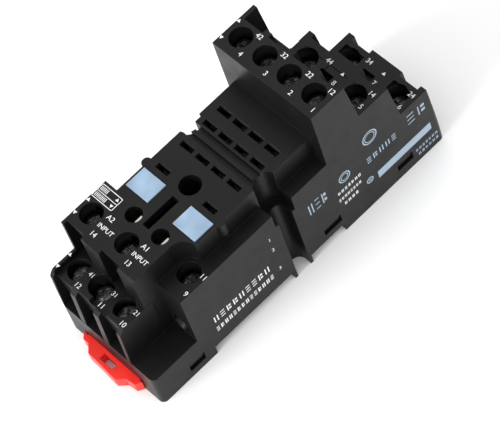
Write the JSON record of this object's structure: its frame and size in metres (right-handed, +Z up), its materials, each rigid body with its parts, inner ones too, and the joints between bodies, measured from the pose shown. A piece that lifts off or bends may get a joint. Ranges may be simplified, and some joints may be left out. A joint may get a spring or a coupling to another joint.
{
  "type": "relay socket",
  "caption": "Stepped plug-in relay socket with recessed screw clamps on several levels, a deck of blade slots and a sprung latch for a 35 mm rail.",
  "frame": {"origin": "on the plane of the rail-side feet, under the middle of the whole part, latch included", "axes": "+X from the rail latch to the tall terminal tower, +Y across the width away from the side with the corner terminal, +Z up from the rail to the terminals"},
  "size_m": [0.0808, 0.027, 0.0403],
  "materials": {
    "housing": "satin black moulded plastic, finely eroded",
    "cover": "satin black moulded plastic",
    "latch": "bright red moulded plastic",
    "spring": "bright drawn spring wire",
    "pad": "flat light blue",
    "screw": "bright zinc plate",
    "clamp": "zinc plate",
    "contact": "tinned copper alloy strip"
  },
  "bodies": {
    "socket": {"housing": "housing", "base_cover": "cover", "pad_far": "pad", "pad_near": "pad", "contact_42": "contact", "contact_32": "contact", "contact_22": "contact", "contact_12": "contact", "contact_44": "contact", "contact_14": "contact", "contact_34": "contact", "contact_24": "contact", "contact_41": "contact", "contact_31": "contact", "contact_21": "contact", "contact_a2": "contact", "contact_a1": "contact", "contact_11": "contact"},
    "latch": {"rail_latch": "latch", "latch_spring": "spring"},
    "screw_42": {"screw_42": "screw"},
    "clamp_42": {"clamp_42": "clamp"},
    "screw_32": {"screw_32": "screw"},
    "clamp_32": {"clamp_32": "clamp"},
    "screw_22": {"screw_22": "screw"},
    "clamp_22": {"clamp_22": "clamp"},
    "screw_12": {"screw_12": "screw"},
    "clamp_12": {"clamp_12": "clamp"},
    "screw_44": {"screw_44": "screw"},
    "clamp_44": {"clamp_44": "clamp"},
    "screw_14": {"screw_14": "screw"},
    "clamp_14": {"clamp_14": "clamp"},
    "screw_34": {"screw_34": "screw"},
    "clamp_34": {"clamp_34": "clamp"},
    "screw_24": {"screw_24": "screw"},
    "clamp_24": {"clamp_24": "clamp"},
    "screw_41": {"screw_41": "screw"},
    "clamp_41": {"clamp_41": "clamp"},
    "screw_31": {"screw_31": "screw"},
    "clamp_31": {"clamp_31": "clamp"},
    "screw_21": {"screw_21": "screw"},
    "clamp_21": {"clamp_21": "clamp"},
    "screw_a2": {"screw_a2": "screw"},
    "clamp_a2": {"clamp_a2": "clamp"},
    "screw_a1": {"screw_a1": "screw"},
    "clamp_a1": {"clamp_a1": "clamp"},
    "screw_11": {"screw_11": "screw"},
    "clamp_11": {"clamp_11": "clamp"}
  },
  "joints": [
    {"name": "latch_slide", "type": "slide", "parent": "socket", "child": "latch", "axis": [-1, 0, 0], "range_m": [0, 0.003], "stiffness_N_per_m": 1500, "springref_m": -0.001, "deforming": ["latch_spring"]},
    {"name": "screw_42_turn", "type": "hinge", "parent": "socket", "child": "screw_42", "pos_m": [0.0176, 0.01, 0.0369], "axis": [0, 0, -1], "range_deg": [0, 1152]},
    {"name": "clamp_42_rise", "type": "slide", "parent": "socket", "child": "clamp_42", "axis": [0, 0, 1], "range_m": [0, 0.0016]},
    {"name": "screw_32_turn", "type": "hinge", "parent": "socket", "child": "screw_32", "pos_m": [0.0176, 0.00333, 0.0369], "axis": [0, 0, -1], "range_deg": [0, 1152]},
    {"name": "clamp_32_rise", "type": "slide", "parent": "socket", "child": "clamp_32", "axis": [0, 0, 1], "range_m": [0, 0.0016]},
    {"name": "screw_22_turn", "type": "hinge", "parent": "socket", "child": "screw_22", "pos_m": [0.0176, -0.00333, 0.0369], "axis": [0, 0, -1], "range_deg": [0, 1152]},
    {"name": "clamp_22_rise", "type": "slide", "parent": "socket", "child": "clamp_22", "axis": [0, 0, 1], "range_m": [0, 0.0016]},
    {"name": "screw_12_turn", "type": "hinge", "parent": "socket", "child": "screw_12", "pos_m": [0.0176, -0.01, 0.0369], "axis": [0, 0, -1], "range_deg": [0, 1152]},
    {"name": "clamp_12_rise", "type": "slide", "parent": "socket", "child": "clamp_12", "axis": [0, 0, 1], "range_m": [0, 0.0016]},
    {"name": "screw_44_turn", "type": "hinge", "parent": "socket", "child": "screw_44", "pos_m": [0.026, 0.0038, 0.0256], "axis": [0, 0, -1], "range_deg": [0, 1152]},
    {"name": "clamp_44_rise", "type": "slide", "parent": "socket", "child": "clamp_44", "axis": [0, 0, 1], "range_m": [0, 0.0016]},
    {"name": "screw_14_turn", "type": "hinge", "parent": "socket", "child": "screw_14", "pos_m": [0.026, -0.00953, 0.0256], "axis": [0, 0, -1], "range_deg": [0, 1152]},
    {"name": "clamp_14_rise", "type": "slide", "parent": "socket", "child": "clamp_14", "axis": [0, 0, 1], "range_m": [0, 0.0016]},
    {"name": "screw_34_turn", "type": "hinge", "parent": "socket", "child": "screw_34", "pos_m": [0.0348, 0.0038, 0.0151], "axis": [0, 0, -1], "range_deg": [0, 1152]},
    {"name": "clamp_34_rise", "type": "slide", "parent": "socket", "child": "clamp_34", "axis": [0, 0, 1], "range_m": [0, 0.0016]},
    {"name": "screw_24_turn", "type": "hinge", "parent": "socket", "child": "screw_24", "pos_m": [0.0348, -0.00953, 0.0151], "axis": [0, 0, -1], "range_deg": [0, 1152]},
    {"name": "clamp_24_rise", "type": "slide", "parent": "socket", "child": "clamp_24", "axis": [0, 0, 1], "range_m": [0, 0.0016]},
    {"name": "screw_41_turn", "type": "hinge", "parent": "socket", "child": "screw_41", "pos_m": [-0.032, 0.01, 0.0169], "axis": [0, 0, -1], "range_deg": [0, 1152]},
    {"name": "clamp_41_rise", "type": "slide", "parent": "socket", "child": "clamp_41", "axis": [0, 0, 1], "range_m": [0, 0.0016]},
    {"name": "screw_31_turn", "type": "hinge", "parent": "socket", "child": "screw_31", "pos_m": [-0.032, 0.00333, 0.0169], "axis": [0, 0, -1], "range_deg": [0, 1152]},
    {"name": "clamp_31_rise", "type": "slide", "parent": "socket", "child": "clamp_31", "axis": [0, 0, 1], "range_m": [0, 0.0016]},
    {"name": "screw_21_turn", "type": "hinge", "parent": "socket", "child": "screw_21", "pos_m": [-0.032, -0.00333, 0.0169], "axis": [0, 0, -1], "range_deg": [0, 1152]},
    {"name": "clamp_21_rise", "type": "slide", "parent": "socket", "child": "clamp_21", "axis": [0, 0, 1], "range_m": [0, 0.0016]},
    {"name": "screw_a2_turn", "type": "hinge", "parent": "socket", "child": "screw_a2", "pos_m": [-0.0247, 0.0103, 0.0268], "axis": [0, 0, -1], "range_deg": [0, 1152]},
    {"name": "clamp_a2_rise", "type": "slide", "parent": "socket", "child": "clamp_a2", "axis": [0, 0, 1], "range_m": [0, 0.0016]},
    {"name": "screw_a1_turn", "type": "hinge", "parent": "socket", "child": "screw_a1", "pos_m": [-0.0247, 0.0002, 0.0268], "axis": [0, 0, -1], "range_deg": [0, 1152]},
    {"name": "clamp_a1_rise", "type": "slide", "parent": "socket", "child": "clamp_a1", "axis": [0, 0, 1], "range_m": [0, 0.0016]},
    {"name": "screw_11_turn", "type": "hinge", "parent": "socket", "child": "screw_11", "pos_m": [-0.0199, -0.01, 0.0206], "axis": [0, 0, -1], "range_deg": [0, 1152]},
    {"name": "clamp_11_rise", "type": "slide", "parent": "socket", "child": "clamp_11", "axis": [0, 0, 1], "range_m": [0, 0.0016]}
  ],
  "couplings": [
    {"joint": "screw_42_turn", "follows": "clamp_42_rise", "rad_per_m": 12566},
    {"joint": "screw_32_turn", "follows": "clamp_32_rise", "rad_per_m": 12566},
    {"joint": "screw_22_turn", "follows": "clamp_22_rise", "rad_per_m": 12566},
    {"joint": "screw_12_turn", "follows": "clamp_12_rise", "rad_per_m": 12566},
    {"joint": "screw_44_turn", "follows": "clamp_44_rise", "rad_per_m": 12566},
    {"joint": "screw_14_turn", "follows": "clamp_14_rise", "rad_per_m": 12566},
    {"joint": "screw_34_turn", "follows": "clamp_34_rise", "rad_per_m": 12566},
    {"joint": "screw_24_turn", "follows": "clamp_24_rise", "rad_per_m": 12566},
    {"joint": "screw_41_turn", "follows": "clamp_41_rise", "rad_per_m": 12566},
    {"joint": "screw_31_turn", "follows": "clamp_31_rise", "rad_per_m": 12566},
    {"joint": "screw_21_turn", "follows": "clamp_21_rise", "rad_per_m": 12566},
    {"joint": "screw_a2_turn", "follows": "clamp_a2_rise", "rad_per_m": 12566},
    {"joint": "screw_a1_turn", "follows": "clamp_a1_rise", "rad_per_m": 12566},
    {"joint": "screw_11_turn", "follows": "clamp_11_rise", "rad_per_m": 12566}
  ]
}
